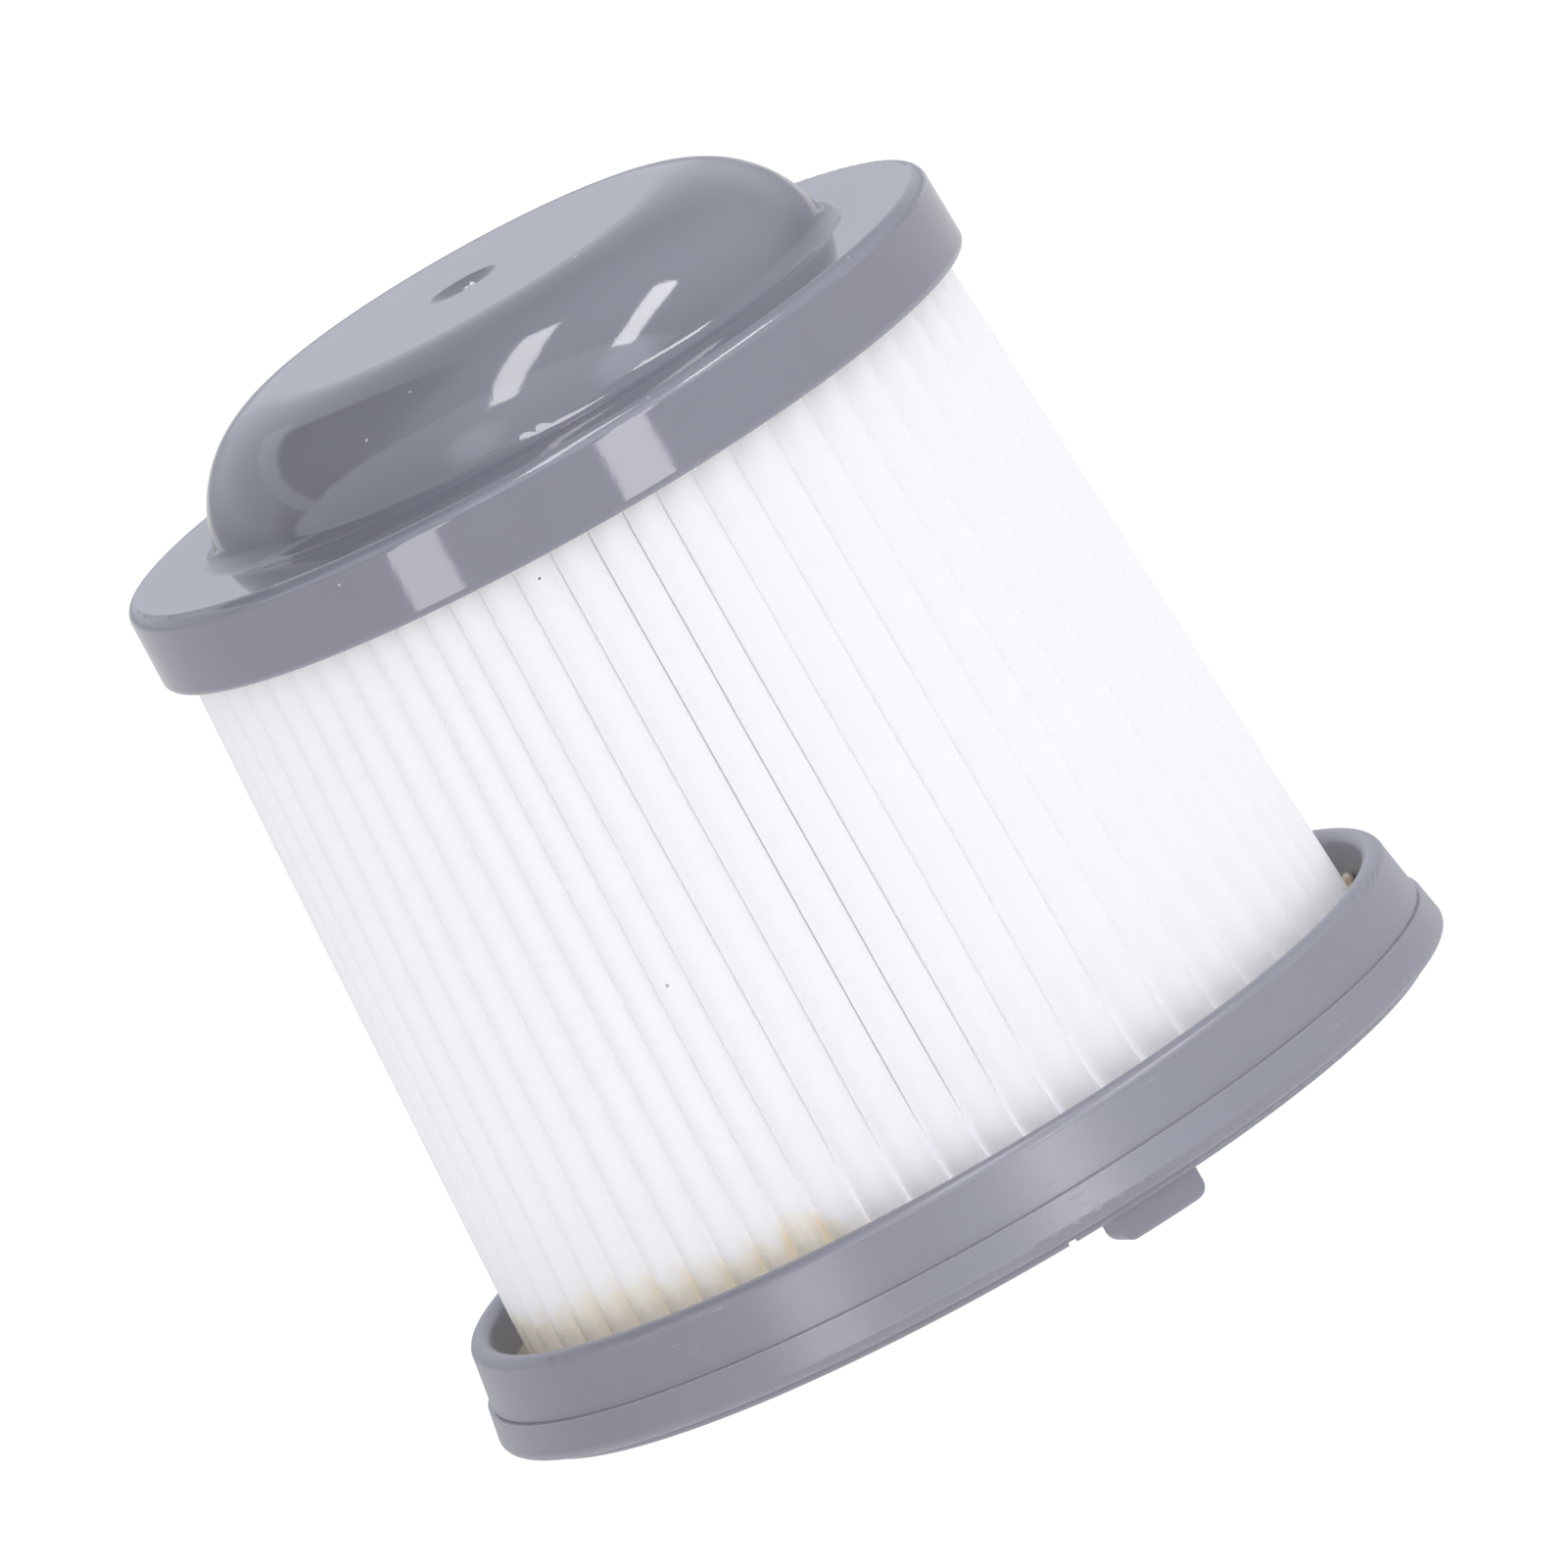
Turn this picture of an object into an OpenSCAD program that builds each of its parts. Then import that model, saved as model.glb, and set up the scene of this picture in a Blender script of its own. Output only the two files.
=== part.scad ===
// Cartridge filter of a hand-held vacuum cleaner: a folded sheet of white felt,
// set in resin between a domed end cap and an open base ring with three lugs.
// Azimuths are measured in degrees from -Y towards +X. The lugs stand on z = 0.

/* [Base ring] */
// Outer diameter of the flange at its widest
flange_d = 96.5; // [95:0.5:99]
// Height of the flange below the witness line
flange_h = 3.7; // [3:0.1:4.5]
// Height of the rounded lip above the seat
lip_h = 9.6; // [8.6:0.1:11]
// Thickness of the upright wall at its lip
lip_t = 2.2; // [1.8:0.1:2.4]
// Thickness of the floor under the resin
floor_t = 2.2; // [1.6:0.1:2.4]
// Diameter of the outlet opening
outlet_d = 63; // [58:0.5:64]
// Thickness of the collar round the outlet
collar_t = 1.8; // [1.2:0.1:2]

/* [Lugs] */
// Number of lugs under the flange
lug_count = 3; // [2:1:6]
// Azimuth of the first lug
lug_azimuth = 17.4; // [0:0.1:60]
// Width of a lug along the rim
lug_w = 9; // [6:0.1:12]
// Depth of a lug towards the axis
lug_t = 3.9; // [3:0.1:6]
// How far a lug stands below the seat
lug_drop = 3.7; // [3:0.1:6]

/* [End cap] */
// Outer diameter of the skirt at its foot
skirt_d = 81.6; // [80.6:0.1:82.6]
// Height of the skirt
skirt_h = 7.8; // [7:0.1:9]
// Wall thickness of the dome
cap_t = 1.9; // [1.6:0.1:2.1]
// Radius of the dome at its widest
dome_r = 31.2; // [30.5:0.1:31.5]
// Radius of the dome's shoulder
shoulder_r = 12; // [10:0.5:14]
// Height of the dome above the cap's flange
dome_h = 10.7; // [9.5:0.1:11.5]
// Radius of the fillet at the foot of the dome
foot_r = 1.8; // [1.2:0.1:2.2]
// Diameter of the gate recess on top of the dome
gate_d = 6.7; // [5:0.1:9]
// Depth of the gate recess
gate_h = 0.9; // [0.5:0.1:1.2]

/* [Pleats] */
// Number of pleats round the pack
pleats = 62; // [50:1:64]
// Depth of a pleat from crest to root
pleat_depth = 8; // [6:0.1:8.2]
// Thickness of the felt
felt_t = 0.5; // [0.35:0.05:0.6]
// Radius of the crests where they enter the base
crest_r_low = 42.2; // [41.5:0.1:42.6]
// Radius of the crests where they enter the cap
crest_r_high = 38.3; // [37.8:0.1:38.5]
// How much the spacing of the pleats wanders, in degrees
wander = 2.6; // [0:0.1:2.6]
// How far the pleats turn from the base to the cap, in degrees
slant = 1.9; // [0:0.1:2.2]

/* [Assembly] */
// Overall height from the lug tips to the top of the dome
total_h = 97.2; // [92:0.1:102]
// Depth of the resin in the base ring and in the cap
resin_h = 3; // [2:0.1:3.6]
// Gap left under and over the ends of the felt
resin_bed = 0.6; // [0.4:0.1:1]

/* [Hidden] */
$fn = 96;

plastic = [0.57, 0.58, 0.63];
felt = [0.96, 0.96, 0.97];
resin = [0.84, 0.79, 0.66];

// How far a joined shape sinks into its neighbour, and a cutting shape runs past what it cuts
eps = 0.01;
over = 1;

// Heights of the base ring, from the underside of its flange
seat_z = lug_drop;
floor_z = seat_z + floor_t;
lip_z = seat_z + lip_h;
base_resin_z = floor_z + resin_h;
collar_h = 5;
collar_z = floor_z + collar_h;

// Radii of the base ring: the flange tapers to a ledge, and the wall leans in above it
flange_r = flange_d / 2;
flange_round = 0.9;
flange_taper = 0.5;
ledge = 0.35;
wall_lean = 0.75;
wall_foot_r = flange_r - flange_taper - ledge;
lip_r = wall_foot_r - wall_lean;
wall_in_r = lip_r - lip_t;
outlet_r = outlet_d / 2;
collar_r = outlet_r + collar_t;

// Witness line between the flange and the wall
witness_depth = 0.15;
witness_h = 0.2;

// Drop of resin left standing against the wall
drop_az = 103.7;
drop_r = 0.6;

// Sealing bead under the flange, with a nick moulded in it
bead_inset = 2;
bead_out_r = flange_r - bead_inset;
bead_t = 1.1;
bead_h = 0.9;
nick_az = 6.3;
nick_w = 0.8;
nick_h = 0.4;

// Lugs, rounded at their corners and along their lower edges
lug_inset = 3;
lug_out_r = flange_r - lug_inset;
lug_in_r = lug_out_r - lug_t;
lug_corner = 1.4;
lug_edge = 0.7;

// Heights of the end cap, from the top of the dome
dome_z = total_h;
cap_top_z = dome_z - dome_h;
plate_t = 2.4;
cap_under_z = cap_top_z - plate_t;
cap_resin_z = cap_under_z - resin_h;
skirt_z = cap_top_z - skirt_h;
rib_h = 5;
rib_z = cap_under_z - rib_h;

// Radii of the end cap: skirt, and collar inside the roots of the pleats
skirt_r = skirt_d / 2;
skirt_t = 1.8;
skirt_draft = 0.15;
skirt_in_r = skirt_r - skirt_t;
skirt_round = 0.7;
rim_round = 1.2;
rib_gap = 0.3;
rib_t = 1.7;
rib_out_r = crest_r_high - pleat_depth - rib_gap;
rib_in_r = rib_out_r - rib_t;

// Dome: centre of the shoulder, centre of the foot's fillet, and where the two arcs meet
shoulder_c = [dome_r - shoulder_r, dome_z - shoulder_r];
foot_z = cap_top_z + foot_r;
foot_reach = shoulder_r + foot_r;
foot_x = shoulder_c[0] + sqrt(pow(foot_reach, 2) - pow(foot_z - shoulder_c[1], 2));
foot_touch = shoulder_c + shoulder_r / foot_reach * ([foot_x, foot_z] - shoulder_c);

// Felt: the heights of its sections, and where the first crest lies
felt_low = floor_z + resin_bed;
felt_high = cap_under_z - resin_bed;
middle_z = (base_resin_z + cap_resin_z) / 2;
levels = [felt_low, base_resin_z, middle_z, cap_resin_z, felt_high];
pitch = 360 / pleats;
first_crest = -72.1;

// Folds: the slit left between two crests, the radius at which it is measured,
// and half the width of a root on its outer side and on its inner side
slit = 0.3;
slit_inset = 1.4;
root_gap = 0.25;
root_w = root_gap + 0.9 * felt_t;

// How far the shoulders and the crown of a fold lie from its tip, as shares of its half width
shoulder = 0.9;
crown = 0.13;

// Glue in the crest where the ends of the sheet meet
seam_pleat = 43;

// Spacing wanders and the pleats turn a little, as the sheet was closed into a ring by hand
function uneven(t) =
    0.26 * cos(2 * t + 16) + cos(3 * t - 29) + 0.25 * cos(6 * t + 139) + 0.21 * cos(11 * t + 173) - 0.4 * sin(t);
function wandered(t) = t - wander * uneven(t);
function turn(t) = slant * (1 + 1.13 * cos(2 * t + 128) + 0.88 * cos(3 * t - 98));

// Straight between the two beds of resin, and upright inside them
function rise(z) = max(0, min(1, (z - base_resin_z) / (cap_resin_z - base_resin_z)));
function crest_r(z) = crest_r_low + (crest_r_high - crest_r_low) * rise(z);
function crest_az(i, z) = let (t = first_crest + i * pitch) wandered(t) + turn(t) * (rise(z) - 0.5);
function root_az(i, z) = (crest_az(i, z) + crest_az(i + 1, z)) / 2;

// Point at radius r on azimuth az, moved x along the rim
function spot(az, r, x) = [r * sin(az) + x * cos(az), -r * cos(az) + x * sin(az)];

// Half the width of a crest: it all but touches the nearer one of its neighbours
function step(i, z) = (crest_az(i + 1, z) - crest_az(i, z)) * PI / 180 * (crest_r(z) - slit_inset);
function crest_w(i, z) = (min(step(i - 1, z), step(i, z)) - slit) / 2;

// Points of one fold: four round its crest, deepest at tip, and two in its root
function fold(i, z, tip, w, root, gap) =
    let (a = crest_az(i, z), b = root_az(i, z), side = crest_r(z) - shoulder * crest_w(i, z)) [
        spot(a, side, -w), spot(a, tip, -w / 2), spot(a, tip, w / 2), spot(a, side, w),
        spot(b, root, -gap), spot(b, root, gap)];

function outer_fold(i, z) =
    let (w = crest_w(i, z), crest = crest_r(z))
        fold(i, z, crest - crown * w, w, crest - pleat_depth + felt_t, root_gap);

function inner_fold(i, z) =
    let (w = crest_w(i, z) - felt_t, crest = crest_r(z))
        fold(i, z, crest - felt_t - crown * w, w, crest - pleat_depth, root_w);

function outer_skin(z) = [for (i = [0 : pleats - 1]) each outer_fold(i, z)];
function inner_skin(z) = [for (i = [0 : pleats - 1]) each inner_fold(i, z)];
function lifted(points, z) = [for (p = points) [p[0], p[1], z]];

// Base ring: tray for the resin, open in the middle, with lip, flange, bead and lugs
module base_section() {
    difference() {
        union() {
            translate([outlet_r, seat_z]) square([wall_foot_r - outlet_r, floor_t]);
            polygon([[wall_in_r, seat_z], [wall_foot_r, seat_z], [wall_foot_r, seat_z + flange_h],
                     [lip_r, lip_z - lip_t / 2], [wall_in_r, lip_z - lip_t / 2]]);
            translate([lip_r - lip_t / 2, lip_z - lip_t / 2]) circle(lip_t / 2);
            polygon([[wall_in_r, seat_z], [flange_r - flange_round, seat_z],
                     [flange_r, seat_z + flange_round], [wall_foot_r + ledge, seat_z + flange_h],
                     [wall_in_r, seat_z + flange_h]]);
            translate([flange_r - flange_round, seat_z + flange_round]) circle(flange_round);
            translate([outlet_r, floor_z - eps]) square([collar_t, collar_z - floor_z - collar_t / 2]);
            translate([outlet_r + collar_t / 2, collar_z - collar_t / 2]) circle(collar_t / 2);
            translate([bead_out_r - bead_t, seat_z - bead_h + bead_t / 2]) square([bead_t, bead_h]);
            translate([bead_out_r - bead_t / 2, seat_z - bead_h + bead_t / 2]) circle(bead_t / 2);
        }
        translate([wall_foot_r - witness_depth, seat_z + flange_h])
            square([witness_depth + ledge, witness_h]);
    }
}

module lug() {
    intersection() {
        rotate_extrude() {
            translate([lug_in_r, lug_edge]) square([lug_t, seat_z + over - lug_edge]);
            translate([lug_in_r + lug_edge, 0]) square([lug_t - 2 * lug_edge, seat_z]);
            translate([lug_in_r + lug_edge, lug_edge]) circle(lug_edge);
            translate([lug_out_r - lug_edge, lug_edge]) circle(lug_edge);
        }
        translate([0, over - lug_in_r, 0]) rotate([90, 0, 0]) linear_extrude(lug_t + 2 * over) {
            translate([-lug_w / 2, lug_corner]) square([lug_w, seat_z]);
            translate([-lug_w / 2 + lug_corner, 0]) square([lug_w - 2 * lug_corner, seat_z]);
            for (side = [-1, 1])
                translate([side * (lug_w / 2 - lug_corner), lug_corner]) circle(lug_corner);
        }
    }
}

module base_ring() {
    color(plastic) union() {
        difference() {
            rotate_extrude() base_section();
            rotate([0, 0, nick_az])
                translate([-nick_w / 2, -bead_out_r - over, seat_z - bead_h - over])
                    cube([nick_w, bead_t + 2 * over, over + nick_h]);
        }
        for (k = [0 : lug_count - 1])
            rotate([0, 0, lug_azimuth + k * 360 / lug_count]) lug();
    }
}

// Folded sheet: one strip of felt, closed into a ring
module pleated_felt() {
    n = 6 * pleats;
    points = [for (z = levels) each concat(lifted(outer_skin(z), z), lifted(inner_skin(z), z))];
    top = (len(levels) - 1) * 2 * n;
    walls = [for (k = [0 : len(levels) - 2]) for (j = [0 : n - 1])
        let (a = 2 * n * k + j, b = 2 * n * k + (j + 1) % n) each [
            [a, b, b + 2 * n], [a, b + 2 * n, a + 2 * n],
            [b + n, a + n, a + 3 * n], [b + n, a + 3 * n, b + 3 * n]]];
    ends = [for (j = [0 : n - 1]) [j, (j + 1) % n, (j + 1) % n + n, j + n]];
    faces = concat(walls, [for (f = ends) [for (j = f) j + top]],
                   [for (f = ends) [for (j = [len(f) - 1 : -1 : 0]) f[j]]]);
    color(felt) polyhedron(points, [for (f = faces) [for (j = [len(f) - 1 : -1 : 0]) f[j]]]);
}

// Slot that an end of the felt leaves in the resin, from height z
module felt_slot(z) {
    n = 6 * pleats;
    rings = [[for (j = [0 : n - 1]) j], [for (j = [n : 2 * n - 1]) j]];
    translate([0, 0, z]) linear_extrude(resin_h) polygon(concat(outer_skin(z), inner_skin(z)), rings);
}

module base_resin() {
    color(resin) {
        difference() {
            translate([0, 0, floor_z]) linear_extrude(resin_h) difference() {
                circle(wall_in_r);
                circle(collar_r);
            }
            felt_slot(felt_low);
        }
        translate(concat(spot(drop_az, wall_in_r - drop_r, 0), base_resin_z + drop_r / 2)) sphere(drop_r);
    }
}

module cap_resin() {
    color(resin) difference() {
        translate([0, 0, cap_resin_z]) linear_extrude(resin_h) difference() {
            circle(skirt_in_r);
            circle(rib_out_r);
        }
        translate([0, 0, -resin_bed]) felt_slot(cap_resin_z);
    }
}

// Bead of glue inside one crest at the back, where the two ends of the sheet meet
module seam_bead() {
    function seam_section(z) = let (f = inner_fold(seam_pleat, z)) [f[1], f[0], f[3], f[2]];
    points = [for (z = [base_resin_z, middle_z, cap_resin_z]) each lifted(seam_section(z), z)];
    sides = [for (low = [0, 4]) for (j = [0 : 3])
        let (a = low + j, b = low + (j + 1) % 4) each [[a, b, b + 4], [a, b + 4, a + 4]]];
    color(resin) polyhedron(points, concat([[0, 3, 2, 1], [8, 9, 10, 11]], sides));
}

// End cap: hollow dome, flange and skirt in one moulding, with a collar inside the pleats
module dome_section() {
    translate([0, cap_top_z - over]) square([shoulder_c[0], dome_h + over]);
    intersection() {
        translate(shoulder_c) circle(shoulder_r);
        translate([0, cap_top_z - over]) square([dome_r, dome_h + over]);
    }
    difference() {
        polygon([[dome_r - cap_t, cap_top_z - eps], [foot_x, cap_top_z - eps], [foot_x, foot_z],
                 foot_touch, [dome_r - cap_t, foot_touch[1]]]);
        translate([foot_x, foot_z]) circle(foot_r);
    }
}

module cap_section() {
    plate_r = skirt_r - skirt_draft - rim_round;
    difference() {
        union() {
            dome_section();
            translate([rib_in_r, cap_under_z]) square([plate_r - rib_in_r, plate_t]);
            polygon([[skirt_in_r, skirt_z], [skirt_r - skirt_round, skirt_z],
                     [skirt_r, skirt_z + skirt_round],
                     [skirt_r - skirt_draft, cap_top_z - rim_round], [skirt_in_r, cap_top_z - rim_round]]);
            translate([skirt_r - skirt_round, skirt_z + skirt_round]) circle(skirt_round);
            translate([plate_r, cap_top_z - rim_round]) circle(rim_round);
            translate([rib_in_r, rib_z]) square([rib_t, rib_h + eps]);
        }
        translate([0, shoulder_c[1] - eps]) square([shoulder_c[0], shoulder_r - cap_t + eps]);
        intersection() {
            translate(shoulder_c) circle(shoulder_r - cap_t);
            translate([0, shoulder_c[1] - eps]) square([dome_r, shoulder_r]);
        }
        polygon([[0, rib_z - over], [rib_in_r, rib_z - over], [rib_in_r, cap_under_z],
                 [dome_r - cap_t, shoulder_c[1]], [0, shoulder_c[1]]]);
    }
}

module end_cap() {
    gate_r = (pow(gate_d / 2, 2) + pow(gate_h, 2)) / (2 * gate_h);
    color(plastic) difference() {
        rotate_extrude() cap_section();
        translate([0, 0, dome_z - gate_h + gate_r]) sphere(gate_r);
    }
}

base_ring();
base_resin();
pleated_felt();
seam_bead();
cap_resin();
end_cap();
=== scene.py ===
import math
import random

import bpy
import numpy as np
from mathutils import Matrix, Vector


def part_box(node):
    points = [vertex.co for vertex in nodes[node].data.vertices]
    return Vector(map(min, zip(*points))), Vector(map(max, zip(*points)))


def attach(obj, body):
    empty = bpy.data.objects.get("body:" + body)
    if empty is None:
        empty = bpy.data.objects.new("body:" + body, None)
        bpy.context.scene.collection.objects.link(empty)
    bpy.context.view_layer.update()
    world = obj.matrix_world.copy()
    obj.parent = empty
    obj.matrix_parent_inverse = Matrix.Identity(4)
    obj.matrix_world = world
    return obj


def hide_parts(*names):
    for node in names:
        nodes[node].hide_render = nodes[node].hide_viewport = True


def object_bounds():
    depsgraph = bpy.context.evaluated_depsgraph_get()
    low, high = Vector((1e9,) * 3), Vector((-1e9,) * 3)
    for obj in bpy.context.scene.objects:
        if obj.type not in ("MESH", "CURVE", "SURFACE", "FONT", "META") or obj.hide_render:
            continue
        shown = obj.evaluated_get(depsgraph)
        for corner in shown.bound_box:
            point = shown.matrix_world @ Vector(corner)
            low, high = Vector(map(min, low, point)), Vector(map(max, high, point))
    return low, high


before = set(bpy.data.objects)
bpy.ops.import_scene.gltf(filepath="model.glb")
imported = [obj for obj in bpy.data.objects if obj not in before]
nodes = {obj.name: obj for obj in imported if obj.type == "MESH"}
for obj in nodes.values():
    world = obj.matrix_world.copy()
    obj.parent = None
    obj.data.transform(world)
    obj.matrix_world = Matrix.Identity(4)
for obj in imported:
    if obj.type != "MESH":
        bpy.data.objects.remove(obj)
cad_low, cad_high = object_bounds()
scene = bpy.context.scene
scene.view_settings.view_transform = "Standard"
scene.cycles.max_bounces = 14
scene.cycles.diffuse_bounces = 12

# Camera. A long lens looks at the middle of the filter from nine degrees above its rim,
# rolled so that the filter leans to the left across the frame as in the photograph.
frame_px = 1601
focal_px = 40000
camera_distance = 3.493
camera_elevation = math.radians(9.5)
camera_roll = math.radians(29.6)
aim_point = Vector((0.00285, 0, cad_high.z - 0.05347))
camera_data = bpy.data.cameras.new("photo_camera")
camera_data.sensor_width = 36
camera_data.lens = focal_px / frame_px * camera_data.sensor_width
camera = bpy.data.objects.new("photo_camera", camera_data)
scene.collection.objects.link(camera)
back = Vector((0, -math.cos(camera_elevation), math.sin(camera_elevation)))
camera.location = aim_point + camera_distance * back
camera.rotation_mode = "QUATERNION"
camera.rotation_quaternion = back.to_track_quat("Z", "Y") @ Matrix.Rotation(-camera_roll, 3, "Z").to_quaternion()
scene.camera = camera


# Table top. A sheet of white acrylic, lit from beneath, on which the filter stands on
# its lugs. It fills the frame from every side, and is clear when seen from beneath.
def new_mesh(name, points, faces, smooth=True):
    mesh = bpy.data.meshes.new(name)
    mesh.from_pydata(points, [], faces)
    mesh.validate()
    mesh.polygons.foreach_set("use_smooth", [smooth] * len(mesh.polygons))
    piece = bpy.data.objects.new(name, mesh)
    scene.collection.objects.link(piece)
    return piece


def new_material(name):
    material = bpy.data.materials.new(name)
    material.use_nodes = True
    return material, material.node_tree, material.node_tree.nodes["Principled BSDF"]


def add(tree, kind, values, **settings):
    """A shader node with its settings, and its sockets linked or set by name or number."""
    made = tree.nodes.new("ShaderNode" + kind)
    for key, value in settings.items():
        setattr(made, key, value)
    for key, value in values.items():
        if isinstance(value, bpy.types.NodeSocket):
            tree.links.new(value, made.inputs[key])
        else:
            made.inputs[key].default_value = value
    return made


def calc(tree, operation, *values):
    return add(tree, "Math", dict(enumerate(values)), operation=operation).outputs[0]


def smooth(tree, value, start, end):
    """0 up to start, 1 from end on, with a soft way between."""
    limits = {"Value": value, "From Min": start, "From Max": end}
    return add(tree, "MapRange", limits, interpolation_type="SMOOTHSTEP").outputs[0]


table_r = 4.0
table_corners = 64
table_turns = [2 * math.pi * k / table_corners for k in range(table_corners)]
table_points = [(table_r * math.cos(t), table_r * math.sin(t), -0.0002) for t in table_turns]
table = new_mesh("table_top", table_points, [list(range(table_corners))], smooth=False)
table_material, tree, shader = new_material("white_acrylic")
shader.inputs["Base Color"].default_value = (0.25, 0.25, 0.25, 1)
shader.inputs["Roughness"].default_value = 0.6
shader.inputs["Specular IOR Level"].default_value = 0
shader.inputs["Emission Color"].default_value = (1, 1, 1, 1)
shiny = add(tree, "LightPath", {}).outputs["Is Glossy Ray"]
tree.links.new(calc(tree, "MULTIPLY_ADD", shiny, -0.42, 0.97), shader.inputs["Emission Strength"])
underside = add(tree, "NewGeometry", {}).outputs["Backfacing"]
tree.links.new(calc(tree, "SUBTRACT", 1, underside), shader.inputs["Alpha"])
table.data.materials.append(table_material)


# Studio light. A tent, pale in front and behind and open to the dark on the left above,
# lights everything softly; two long softboxes hang at the right, two stand on the table.
def mixed(tree, factor, a, b):
    return add(tree, "Mix", {0: factor, 6: a, 7: b}, data_type="RGBA").outputs[2]


def direction(azimuth, elevation):
    a, e = math.radians(azimuth), math.radians(elevation)
    return Vector((math.sin(a) * math.cos(e), -math.cos(a) * math.cos(e), math.sin(e)))


world = bpy.data.worlds.new("white_tent")
world.use_nodes = True
scene.world = world
tree = world.node_tree
way = add(tree, "TexCoord", {}).outputs["Generated"]
part = add(tree, "SeparateXYZ", {0: way})


def toward(azimuth, elevation):
    """How far a direction of the tent lies towards a given one, as a cosine."""
    return add(tree, "VectorMath", {0: way, 1: direction(azimuth, elevation)}, operation="DOT_PRODUCT").outputs["Value"]


# A dark doorway stands open on the left above, with a straight sill and one straight jamb.
sill_start, sill_end = direction(-157, 35), direction(-94, 26.5)
sill_normal = sill_start.cross(sill_end).normalized()
over_sill = add(tree, "VectorMath", {0: way, 1: sill_normal}, operation="DOT_PRODUCT").outputs["Value"]
doorway = calc(tree, "MULTIPLY", smooth(tree, toward(-122, 44), 0.76, 0.93), smooth(tree, toward(-67, 0), -0.01, 0.03))
opening = calc(tree, "MULTIPLY", doorway, smooth(tree, over_sill, -0.02, 0.02))

# What the tent gives as light: most from the right in front, more from above than below.
lobe = smooth(tree, toward(35, 30), -0.1, 0.95)
above = calc(tree, "MULTIPLY_ADD", calc(tree, "MAXIMUM", part.outputs["Z"], 0), 0.3, 1)
fill = calc(tree, "MULTIPLY", calc(tree, "MULTIPLY_ADD", lobe, 0.105, 0.722), above)
fill = calc(tree, "MULTIPLY", fill, calc(tree, "MULTIPLY_ADD", smooth(tree, toward(-122, 35), 0.5, 0.93), -0.5, 1))

# What shows in gloss: a pale board in front, cloth that pales to the right, the doorway
# with its bright sill, a bright back wall, and two small glows under the softboxes.
board_height = calc(tree, "SUBTRACT", calc(tree, "MULTIPLY", toward(-20, 0), 1.93), part.outputs["Z"])
board = calc(tree, "MULTIPLY", smooth(tree, board_height, -0.03, 0.14),
             calc(tree, "MULTIPLY_ADD", smooth(tree, toward(35, 30), 0.35, 0.9), 1.2, 1.7))
board = calc(tree, "MULTIPLY", board, calc(tree, "MULTIPLY_ADD", smooth(tree, part.outputs["Z"], 0.1, 0.25), 0.65, 0.35))
cloth = calc(tree, "MULTIPLY_ADD", smooth(tree, toward(50, 30), 0.1, 0.9), 1.14, 0.9)
cloth = calc(tree, "MULTIPLY", cloth, calc(tree, "MULTIPLY_ADD", smooth(tree, part.outputs["Z"], 0.02, 0.25), 0.4, 0.6))
dim = smooth(tree, toward(-88, 16), 0.88, 0.98)
dark = calc(tree, "MULTIPLY", calc(tree, "MULTIPLY_ADD", dim, -0.6, 1), calc(tree, "MULTIPLY_ADD", opening, -0.8, 1))
cloth = calc(tree, "MULTIPLY", cloth, dark)
sill = calc(tree, "MULTIPLY", smooth(tree, over_sill, 0, -0.02), smooth(tree, over_sill, -0.13, -0.11))
sill = calc(tree, "MULTIPLY", sill, calc(tree, "MULTIPLY", smooth(tree, toward(-126, 31), 0.82, 0.87), 1.2))
wall_side = calc(tree, "MULTIPLY_ADD", part.outputs["Y"], 0.33, calc(tree, "MULTIPLY", calc(tree, "ABSOLUTE", part.outputs["X"]), -1))
back_wall = calc(tree, "MULTIPLY", smooth(tree, wall_side, -0.12, 0.32), smooth(tree, part.outputs["Z"], 0.82, 0.5))
back_wall = calc(tree, "MULTIPLY", back_wall, smooth(tree, part.outputs["Z"], -0.06, 0.12))
shine = calc(tree, "MAXIMUM", calc(tree, "MAXIMUM", board, cloth), sill)
shine = calc(tree, "MAXIMUM", shine, calc(tree, "MULTIPLY", back_wall, 0.95))
for azimuth, elevation, start, end, glow in ((-24, 28, 0.972, 0.999, 1.5), (37, 25, 0.97, 0.999, 1.7)):
    shine = calc(tree, "MULTIPLY_ADD", smooth(tree, toward(azimuth, elevation), start, end), glow, shine)
glossy = add(tree, "LightPath", {}).outputs["Is Glossy Ray"]
level = add(tree, "Mix", {0: glossy, 2: fill, 3: shine}, data_type="FLOAT").outputs[0]
world.cycles.sampling_method = "NONE"
tent = tree.nodes["Background"]
tree.links.new(mixed(tree, glossy, (0.945, 0.95, 1, 1), (0.87, 0.91, 1, 1)), tent.inputs["Color"])
tree.links.new(level, tent.inputs["Strength"])


def lamp(name, centre, along, size, radiance):
    """A softbox facing the filter from centre, its long side laid along a direction."""
    data = bpy.data.lights.new(name, "AREA")
    data.shape = "RECTANGLE"
    data.size, data.size_y = size
    data.energy = radiance * math.pi * size[0] * size[1]
    made = bpy.data.objects.new(name, data)
    made.location = target + centre
    facing = centre.normalized()
    upright = (along - along.dot(facing) * facing).normalized()
    made.rotation_mode = "QUATERNION"
    made.rotation_quaternion = Matrix((upright.cross(facing), upright, facing)).transposed().to_quaternion()
    made.visible_camera = False
    scene.collection.objects.link(made)
    return made


def strip(name, start, end, width, distance, radiance):
    """A long softbox that reaches from one direction to another, its width in degrees."""
    low, high = direction(*start), direction(*end)
    length = 2 * distance * math.tan(low.angle(high) / 2)
    size = (2 * distance * math.tan(math.radians(width / 2)), length)
    return lamp(name, distance * (low + high).normalized(), high - low, size, radiance)


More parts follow.
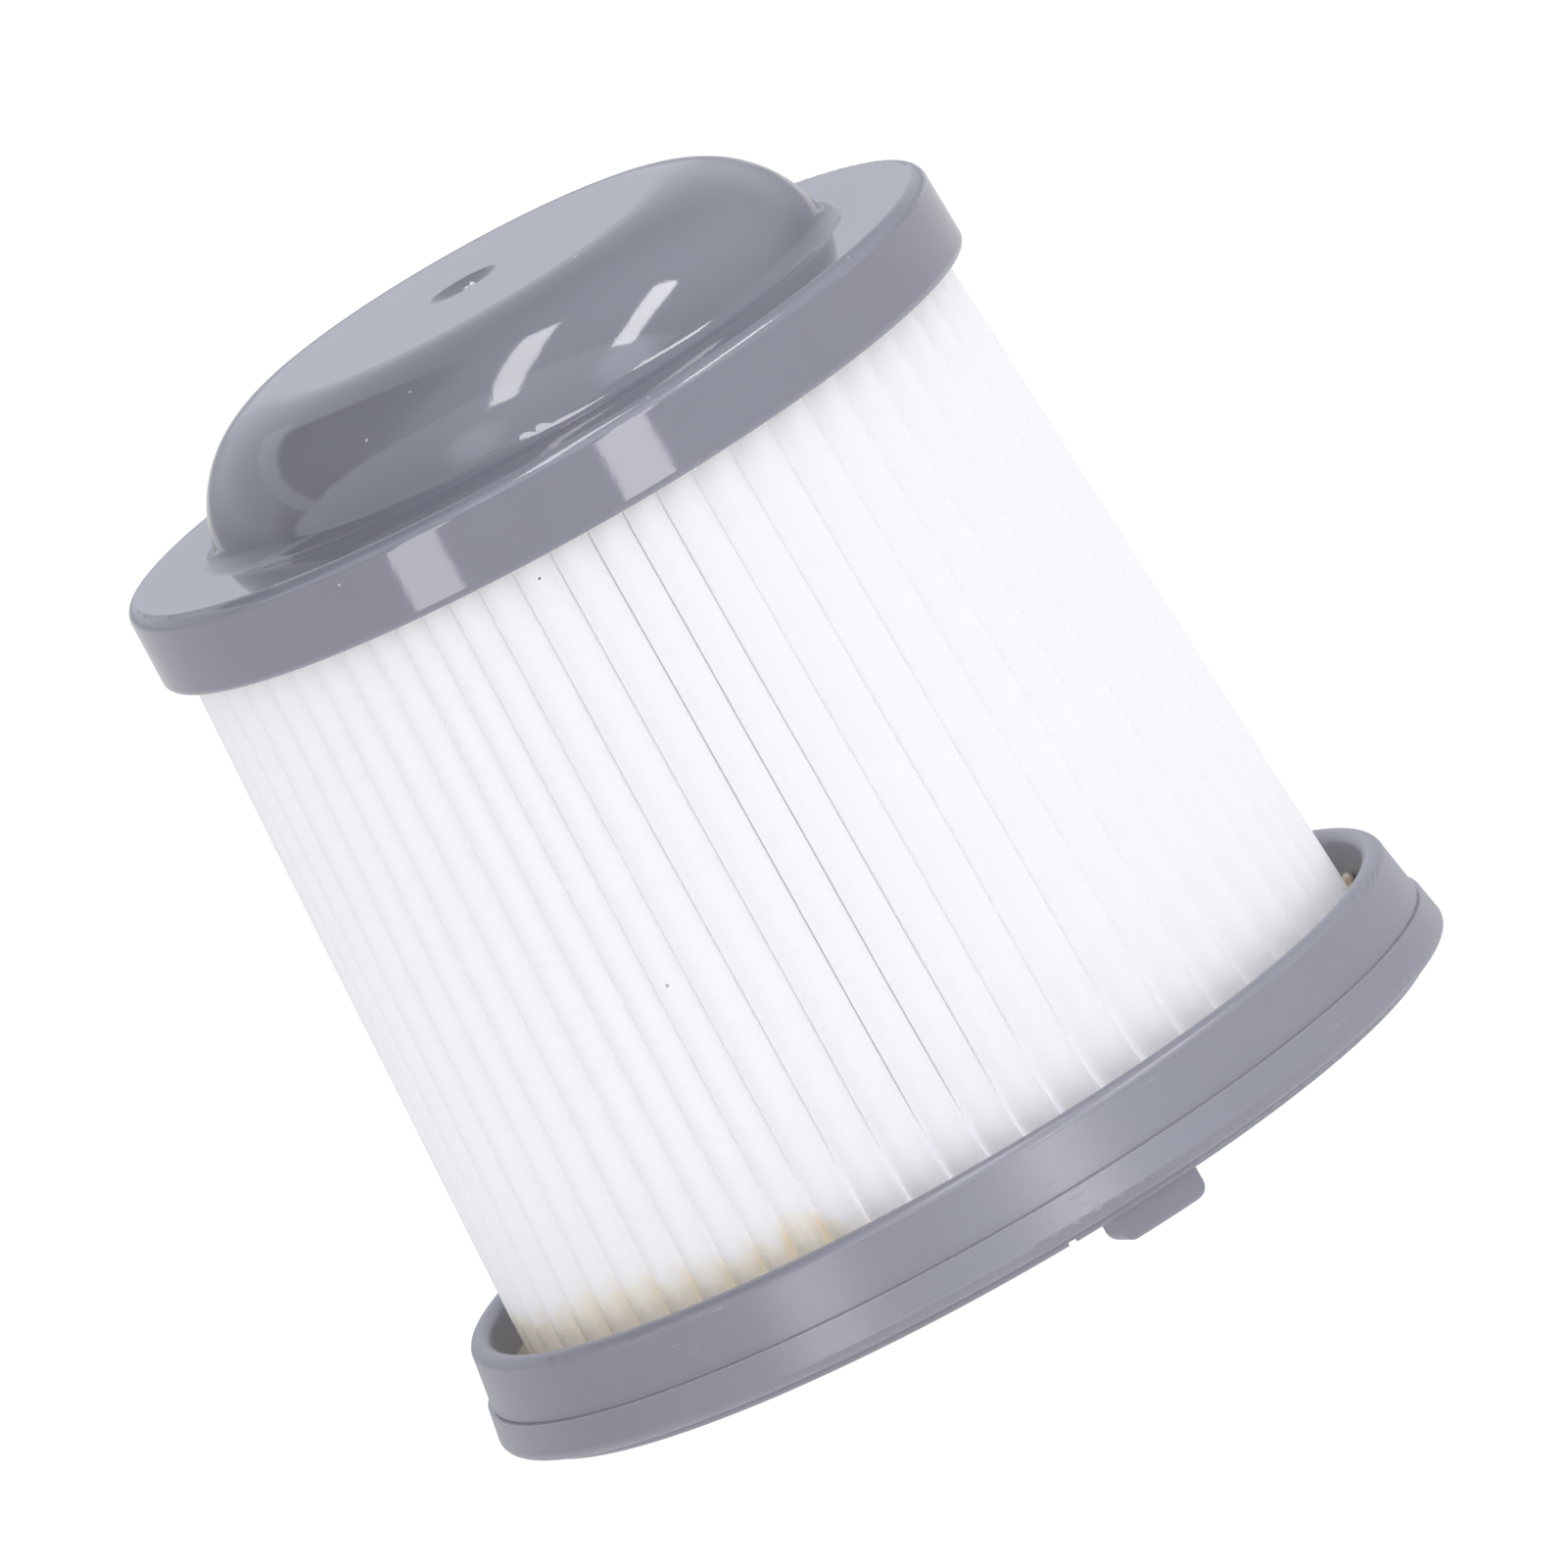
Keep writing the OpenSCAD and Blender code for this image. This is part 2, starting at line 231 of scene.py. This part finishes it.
target = Vector((0, 0, cad_high.z - 0.007))
upper = strip("softbox_upper", (-9.5, 46.5), (84, 81), 10, 1.6, 8.3)
right = strip("softbox_right", (40, 34), (83, 46), 9, 1.6, 10.5)
low_left = strip("low_softbox_left", (-46.3, -14), (-35.3, 8), 12.3, 0.45, 4.9)
low_right = strip("low_softbox_right", (12.4, -14), (21.4, 8), 12.8, 0.45, 5.9)
for made in (upper, right, low_left, low_right):
    made.visible_diffuse = False


# Base ring. An injection-moulded tray in satin grey plastic, with lip, flange and lugs;
# it stands at the bottom of the pack and takes the resin.
def new_group(name, inputs, outputs):
    """A node group with its sockets, its tree and its two end nodes."""
    made = bpy.data.node_groups.new(name, "ShaderNodeTree")
    for word, kind in inputs:
        made.interface.new_socket(name=word, in_out="INPUT", socket_type="NodeSocket" + kind)
    for word, kind in outputs:
        made.interface.new_socket(name=word, in_out="OUTPUT", socket_type="NodeSocket" + kind)
    return made, made.nodes.new("NodeGroupInput").outputs, made.nodes.new("NodeGroupOutput").inputs


def noise(tree, vector, scale, detail=2, roughness=0.5):
    values = {"Vector": vector, "Scale": scale, "Detail": detail, "Roughness": roughness}
    return add(tree, "TexNoise", values).outputs["Fac"]


# Skin of a moulding, shared by both grey parts: cloudy tone, fine grain and faint scuffs.
skin_group, taken, given = new_group(
    "moulded_skin",
    [("Vector", "Vector"), ("Scuffs", "Float")],
    [("Tone", "Float"), ("Roughness", "Float"), ("Height", "Float")])
place = taken["Vector"]
cloud = noise(skin_group, place, 70, 3, 0.6)
grain = noise(skin_group, place, 2600, 2, 0.6)
stretched = add(skin_group, "Mapping", {"Vector": place, "Scale": (1, 1, 14)}).outputs[0]
rubbed = smooth(skin_group, noise(skin_group, stretched, 260, 4, 0.7), 0.6, 0.72)
scuffed = calc(skin_group, "MULTIPLY", calc(skin_group, "MULTIPLY", rubbed, taken["Scuffs"]),
               smooth(skin_group, noise(skin_group, place, 45, 1), 0.45, 0.62))
tone = calc(skin_group, "MULTIPLY_ADD", cloud, 0.12, 0.94)
skin_group.links.new(calc(skin_group, "MULTIPLY_ADD", scuffed, 0.22, tone), given["Tone"])
skin_group.links.new(calc(skin_group, "MULTIPLY_ADD", scuffed, 0.2, calc(skin_group, "MULTIPLY", cloud, 0.05)),
                     given["Roughness"])
skin_group.links.new(calc(skin_group, "MULTIPLY_ADD", scuffed, -0.5, grain), given["Height"])


def moulded(tree, shader, color, roughness, scuffs, grain_depth):
    """Dresses a material in the shared skin and gives back its place and colour sockets."""
    place = add(tree, "TexCoord", {}).outputs["Object"]
    skin = add(tree, "Group", {}, node_tree=skin_group)
    tree.links.new(place, skin.inputs["Vector"])
    skin.inputs["Scuffs"].default_value = scuffs
    tinted = add(tree, "VectorMath", {0: color, "Scale": skin.outputs["Tone"]}, operation="SCALE").outputs[0]
    tree.links.new(calc(tree, "ADD", skin.outputs["Roughness"], roughness), shader.inputs["Roughness"])
    bump = add(tree, "Bump", {"Height": skin.outputs["Height"], "Distance": grain_depth, "Strength": 1})
    tree.links.new(bump.outputs["Normal"], shader.inputs["Normal"])
    return place, tinted


def fleck(tree, place, spot, radius):
    """Mask of a small round speck about a point."""
    apart = add(tree, "VectorMath", {0: place, 1: spot}, operation="DISTANCE").outputs["Value"]
    return smooth(tree, apart, radius, 0.6 * radius)


def flecked(tree, place, color, flecks):
    """Colour with specks of dust and small flaws on it: azimuth, radius, height, size and shade."""
    for azimuth, r, z, size, shade in flecks:
        spot = 0.001 * r * direction(azimuth, 0) + Vector((0, 0, 0.001 * z))
        color = mixed(tree, fleck(tree, place, spot, 0.001 * size), color, (*shade, 1))
    return color


ring = nodes["base_ring"]
ring_low, ring_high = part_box("base_ring")
lip_mm = ring_high.z * 1000
ring_material, tree, shader = new_material("satin_grey_plastic")
place, color = moulded(tree, shader, (0.268, 0.27, 0.316), 0.27, 1.0, 0.00001)
pale, dark = (0.6, 0.6, 0.63), (0.03, 0.03, 0.035)
ring_flecks = [
    (9.7, 47.6, lip_mm - 8.7, 0.35, pale), (13.5, 47.6, lip_mm - 8.9, 0.3, pale), (24.6, 47.6, lip_mm - 8.7, 0.3, pale),
    (64, 47.6, lip_mm - 8.8, 0.45, pale), (62, 47.7, lip_mm - 8.6, 0.3, pale), (-53, 46.9, lip_mm - 4.6, 0.3, dark)]
# Painted light: a lighter band along the step line at 7.5 mm, which lifts the shade in that groove.
height = add(tree, "SeparateXYZ", {0: place}).outputs["Z"]
painted_light_band_offset = calc(tree, "ABSOLUTE", calc(tree, "SUBTRACT", height, 0.0075))
color = mixed(tree, calc(tree, "MULTIPLY", smooth(tree, painted_light_band_offset, 0.0002, 0.0001), 0.75), color, (0.42, 0.42, 0.47, 1))
tree.links.new(flecked(tree, place, color, ring_flecks), shader.inputs["Base Color"])
ring.data.materials.clear()
ring.data.materials.append(ring_material)

# Resin in the base ring. Beige two-part resin, poured round the feet of the pleats.
base_resin = nodes["base_resin"]
resin_material, tree, shader = new_material("beige_resin")
place = add(tree, "TexCoord", {}).outputs["Object"]
cloud = noise(tree, place, 160, 4, 0.6)
tree.links.new(mixed(tree, cloud, (0.60, 0.52, 0.38, 1), (0.78, 0.71, 0.57, 1)), shader.inputs["Base Color"])
shader.inputs["Roughness"].default_value = 0.22
bump = add(tree, "Bump", {"Height": noise(tree, place, 500, 2), "Distance": 0.0001})
tree.links.new(bump.outputs["Normal"], shader.inputs["Normal"])
base_resin.data.materials.clear()
base_resin.data.materials.append(resin_material)

# Pleated felt. One strip of white non-woven felt, folded to and fro into 62 pleats and
# closed into a ring that narrows towards the cap; its ends stand in the resin.
mm = 0.001
pleats = 62
pleat_depth = 8.0
felt_t = 0.5
crest_r_low, crest_r_high = 42.2, 38.3
felt_low, felt_high = (corner.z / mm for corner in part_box("pleated_felt"))
base_resin_z, cap_resin_z = (corner.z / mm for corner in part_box("seam_bead"))
wander, slant = 2.6, 1.9
first_crest = -72.1
slit = 0.02
root_fold_r = 0.4
crest_points, root_points, flank_points = 11, 5, 3
levels_between = 31
draw = random.Random(11)
waves = [[draw.uniform(-1, 1) for _ in range(8)] for _ in range(pleats)]


def wave(t, times, phase):
    return math.cos(math.radians(times * t + phase))


def wandered(t):
    uneven = 0.26 * wave(t, 2, 16) + wave(t, 3, -29) + 0.25 * wave(t, 6, 139) + 0.21 * wave(t, 11, 173)
    return t - wander * (uneven - 0.4 * wave(t, 1, -90))


def turn(t):
    return slant * (1 + 1.13 * wave(t, 2, 128) + 0.88 * wave(t, 3, -98))


def rise(z):
    return min(1, max(0, (z - base_resin_z) / (cap_resin_z - base_resin_z)))


def crest_azimuth(i, z):
    """Azimuth of a crest at height z. Free of the resin, each fold leans and ripples a little."""
    t = first_crest + i * 360 / pleats
    s = rise(z)
    w = waves[i % pleats]
    lean = (0.36 * wave(t, 2, -151) + 0.86 * wave(t, 3, 88) - 0.37) * min(1, s / 0.08, (1 - s) / 0.04)
    ripple = 0.2 * w[0] * math.sin(2 * math.pi * s + 3 * w[1]) + 0.08 * w[2] * math.sin(5 * math.pi * s + 3 * w[3])
    return wandered(t) + turn(t) * (s - 0.5) + lean + ripple * math.sin(math.pi * s)


def on_rim(azimuth, r):
    a = math.radians(azimuth)
    return np.array((r * math.sin(a), -r * math.cos(a)))


def flank_normal(crest, crest_fold_r, root, side):
    """Unit normal of the flank that touches the crest's fold on one side and the root's on the other."""
    along = root - crest
    length = np.linalg.norm(along)
    along = along / length
    lean = math.asin((crest_fold_r + root_fold_r) / length)
    return math.sin(lean) * along + side * math.cos(lean) * np.array((-along[1], along[0]))


def bend(centre, r, start, end, middle_way, count):
    """Arc of a fold from start to end by way of the middle direction."""
    base = math.atan2(middle_way[1], middle_way[0])
    a0 = math.atan2(middle_way[0] * start[1] - middle_way[1] * start[0], middle_way @ start)
    a1 = math.atan2(middle_way[0] * end[1] - middle_way[1] * end[0], middle_way @ end)
    angles = [base + a0 + (a1 - a0) * k / (count - 1) for k in range(count)]
    return [centre + r * np.array((math.cos(a), math.sin(a))) for a in angles]


def flank(start, end, normal, swell, s):
    """Points between two folds, on a face that swells a little between them."""
    bow = 0.05 * swell * math.sin(math.pi * s)
    shares = [(k + 1) / (flank_points + 1) for k in range(flank_points)]
    return [start + u * (end - start) + bow * math.sin(math.pi * u) * normal for u in shares]


def section(z, outside):
    """One skin of the felt at height z: all its points round the ring. Each crest all but touches the next."""
    s = rise(z)
    crest_r = crest_r_low + (crest_r_high - crest_r_low) * s
    shift = felt_t / 2 if outside else -felt_t / 2
    azimuths = [crest_azimuth(i, z) for i in range(-2, pleats + 3)]
    valleys = [(a + b) / 2 for a, b in zip(azimuths, azimuths[1:])]
    cells = list(zip(valleys, valleys[1:]))
    folds = [(math.radians(b - a) * (crest_r - 1.6) - slit - felt_t) / 2 for a, b in cells]
    heights_out = [0.12 * waves[i % pleats][6] * math.sin(math.pi * s) for i in range(-1, pleats + 2)]
    crests = [on_rim((a + b) / 2, crest_r + h - r - felt_t / 2) for (a, b), h, r in zip(cells, heights_out, folds)]
    roots = [on_rim(v, crest_r - pleat_depth + root_fold_r + felt_t / 2) for v in valleys[1:-1]]
    points = []
    for i in range(1, pleats + 1):
        crest, root, before, after = crests[i], roots[i], roots[i - 1], crests[i + 1]
        r, next_r = folds[i], folds[i + 1]
        outward, inward = crest / np.linalg.norm(crest), -root / np.linalg.norm(root)
        right = flank_normal(crest, r, root, 1)
        left = flank_normal(crest, r, before, -1)
        next_left = flank_normal(after, next_r, root, -1)
        points += bend(crest, r + shift, left, right, outward, crest_points)
        points += flank(points[-1], root - (root_fold_r - shift) * right, right, waves[i - 1][4], s)
        points += bend(root, root_fold_r - shift, -right, -next_left, inward, root_points)
        points += flank(points[-1], after + (next_r + shift) * next_left, next_left, waves[i - 1][5], s)
    return points


heights = [felt_low] + list(np.linspace(base_resin_z, cap_resin_z, levels_between)) + [felt_high]
rings = [section(z, True) + section(z, False) for z in heights]
skin = len(rings[0]) // 2
felt_verts = [(p[0] * mm, p[1] * mm, z * mm) for z, ring_points in zip(heights, rings) for p in ring_points]
felt_faces = []
for k in range(len(heights) - 1):
    low, high = 2 * skin * k, 2 * skin * (k + 1)
    for j in range(skin):
        n = (j + 1) % skin
        felt_faces.append((low + j, low + n, high + n, high + j))
        felt_faces.append((low + skin + n, low + skin + j, high + skin + j, high + skin + n))
for level, flip in ((0, True), (len(heights) - 1, False)):
    base = 2 * skin * level
    for j in range(skin):
        n = (j + 1) % skin
        edge = (base + j, base + n, base + skin + n, base + skin + j)
        felt_faces.append(edge[::-1] if flip else edge)
felt = new_mesh("felt_pack", felt_verts, felt_faces)

felt_material, tree, shader = new_material("white_felt")
place = add(tree, "TexCoord", {}).outputs["Object"]
part = add(tree, "SeparateXYZ", {0: place})
turned = calc(tree, "ARCTAN2", part.outputs["X"], calc(tree, "MULTIPLY", part.outputs["Y"], -1))
azimuth = calc(tree, "DEGREES", turned)

# Felt surface: matted fibres lying every way, and a slight cloudiness.
fibre = noise(tree, place, 2400, 4, 0.7)
matting = noise(tree, place, 420, 3, 0.6)
fluff = calc(tree, "ADD", fibre, calc(tree, "MULTIPLY", matting, 0.6))
white = mixed(tree, matting, (0.915, 0.918, 0.93, 1), (0.96, 0.955, 0.96, 1))

# Resin soaked up by the felt over the lip, from the far left to the middle; it climbs
# highest in a few pleats, and its edge is soft.
above_lip = calc(tree, "DIVIDE", calc(tree, "SUBTRACT", part.outputs["Z"], ring_high.z), mm)
soak = calc(tree, "MULTIPLY", smooth(tree, azimuth, -14, -19), 1.9)
peak = calc(tree, "MULTIPLY", smooth(tree, calc(tree, "ABSOLUTE", calc(tree, "ADD", azimuth, 22)), 3.4, 0.6), 1.5)
side = calc(tree, "MULTIPLY", calc(tree, "SUBTRACT", smooth(tree, azimuth, -34, -50), smooth(tree, azimuth, -56, -68)), 1.1)
reach = calc(tree, "ADD", calc(tree, "ADD", soak, peak), side)
ragged = calc(tree, "MULTIPLY", calc(tree, "SUBTRACT", noise(tree, place, 420, 4, 0.65), 0.5), 4.2)
wetness = smooth(tree, calc(tree, "SUBTRACT", calc(tree, "ADD", reach, ragged), above_lip), -1.1, 1.9)
wetness = calc(tree, "MULTIPLY", wetness, smooth(tree, azimuth, -110, -95))
wetness = calc(tree, "MULTIPLY", wetness, smooth(tree, azimuth, -12, -16))
stained = mixed(tree, calc(tree, "MULTIPLY", wetness, 0.95), white, (0.90, 0.83, 0.675, 1))

felt_flecks = [
    (-10.4, 38.4, lip_mm + 63.5, 0.17, (0.16, 0.14, 0.14)), (-2.2, 39.7, lip_mm + 40.6, 0.25, (0.45, 0.42, 0.40)),
    (-21.6, 40.5, lip_mm + 26.2, 0.22, (0.5, 0.48, 0.45)), (-19.1, 41.2, lip_mm + 12.9, 0.22, (0.5, 0.48, 0.45)),
    (46.7, 40.7, lip_mm + 22.1, 0.25, (0.6, 0.58, 0.58))]
tree.links.new(flecked(tree, place, stained, felt_flecks), shader.inputs["Base Color"])
tree.links.new(calc(tree, "MULTIPLY_ADD", wetness, -0.72, 0.95), shader.inputs["Roughness"])
tree.links.new(calc(tree, "MULTIPLY_ADD", wetness, 0.35, 0.15), shader.inputs["Specular IOR Level"])
bump = add(tree, "Bump", {"Height": fluff, "Distance": 0.00006, "Strength": 0.8})
tree.links.new(bump.outputs["Normal"], shader.inputs["Normal"])
# Painted light: the felt glows faintly all over (emission), more deep in its valleys and at its foot above the lip, to
# lift the shade there.
spread = add(tree, "VectorMath", {0: place, 1: (1, 1, 0)}, operation="MULTIPLY").outputs[0]
radius = add(tree, "VectorMath", {0: spread}, operation="LENGTH").outputs["Value"]
taper = add(tree, "MapRange", {"Value": part.outputs["Z"], "From Min": base_resin_z * mm, "From Max": cap_resin_z * mm,
                               "To Min": crest_r_low * mm, "To Max": crest_r_high * mm}).outputs[0]
painted_glow = smooth(tree, calc(tree, "SUBTRACT", taper, radius), 0.4 * mm, 1.6 * mm)
painted_glow = calc(tree, "MULTIPLY_ADD", painted_glow, 0.024, 0.016)
painted_glow = calc(tree, "MULTIPLY_ADD", smooth(tree, above_lip, 9, 0), 0.06, painted_glow)
shader.inputs["Emission Color"].default_value = (0.96, 0.965, 1, 1)
tree.links.new(calc(tree, "MULTIPLY", painted_glow, calc(tree, "MULTIPLY_ADD", wetness, -0.1, 1)), shader.inputs["Emission Strength"])
felt.data.materials.append(felt_material)
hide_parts("pleated_felt")
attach(felt, "root")
middle = section((felt_low + felt_high) / 2, True) + section((felt_low + felt_high) / 2, False)

# Cap resin and seam bead. The same resin holds the upper ends of the pleats, and a line
# of it closes the sheet's two ends into a ring.
for name in ("cap_resin", "seam_bead"):
    piece = nodes[name]
    piece.data.materials.clear()
    piece.data.materials.append(resin_material)

# End cap. Injection-moulded in glossy grey plastic, with a flat top and the torn mark
# of the gate in its middle.
cap = nodes["end_cap"]
cap_low, cap_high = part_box("end_cap")
crown_mm = cap_high.z / mm
cap_material, tree, shader = new_material("glossy_grey_plastic")
place, color = moulded(tree, shader, (0.222, 0.226, 0.269), 0.045, 0.25, 0.000003)
# Painted light: out from 39 mm the colour is up to 14 % lighter, standing in for the light that falls on the skirt and
# rim.
spread = add(tree, "VectorMath", {0: place, 1: (1, 1, 0)}, operation="MULTIPLY").outputs[0]
radius = add(tree, "VectorMath", {0: spread}, operation="LENGTH").outputs["Value"]
color = add(tree, "VectorMath", {0: color, "Scale": calc(tree, "MULTIPLY_ADD", smooth(tree, radius, 0.039, 0.0403), 0.14, 1)},
            operation="SCALE").outputs[0]
cap_flecks = [
    (-30.2, 28.3, crown_mm - 4.1, 0.2, pale), (-19.6, 26.2, crown_mm - 2.25, 0.15, pale),
    (-33.7, 40.7, crown_mm - 12.7, 0.16, pale), (13.3, 40.2, crown_mm - 10.9, 0.14, pale),
    (50, 40.2, crown_mm - 10.9, 0.16, pale), (29, 20.4, crown_mm - 0.06, 0.24, (0.8, 0.62, 0.68))]
tree.links.new(flecked(tree, place, color, cap_flecks), shader.inputs["Base Color"])
cap.data.materials.clear()
cap.data.materials.append(cap_material)
gate_floor = crown_mm - 0.9
ragged_top = [(0.55 + draw.uniform(-0.15, 0.15), 0.6 + draw.uniform(-0.2, 0.2)) for _ in range(12)]
scar_verts = [(0.8 * mm * math.cos(k * math.pi / 6) + 0.4 * mm, 0.6 * mm * math.sin(k * math.pi / 6) - 0.3 * mm, gate_floor * mm)
              for k in range(12)]
scar_verts += [(r * mm * math.cos(k * math.pi / 6) + 0.4 * mm, 0.8 * r * mm * math.sin(k * math.pi / 6) - 0.3 * mm,
                (gate_floor + h) * mm) for k, (r, h) in enumerate(ragged_top)]
scar_verts += [(0.4 * mm, -0.3 * mm, (gate_floor + 0.35) * mm)]
scar_faces = [(k, (k + 1) % 12, 12 + (k + 1) % 12, 12 + k) for k in range(12)]
scar_faces += [(12 + k, 12 + (k + 1) % 12, 24) for k in range(12)] + [tuple(range(11, -1, -1))]
scar = new_mesh("gate_scar", scar_verts, scar_faces, smooth=False)
scar_material, tree, shader = new_material("torn_plastic")
place = add(tree, "TexCoord", {}).outputs["Object"]
tree.links.new(mixed(tree, noise(tree, place, 1500), (0.45, 0.45, 0.5, 1), (0.95, 0.95, 0.97, 1)), shader.inputs["Base Color"])
shader.inputs["Roughness"].default_value = 0.35
scar.data.materials.append(scar_material)
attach(scar, "root")
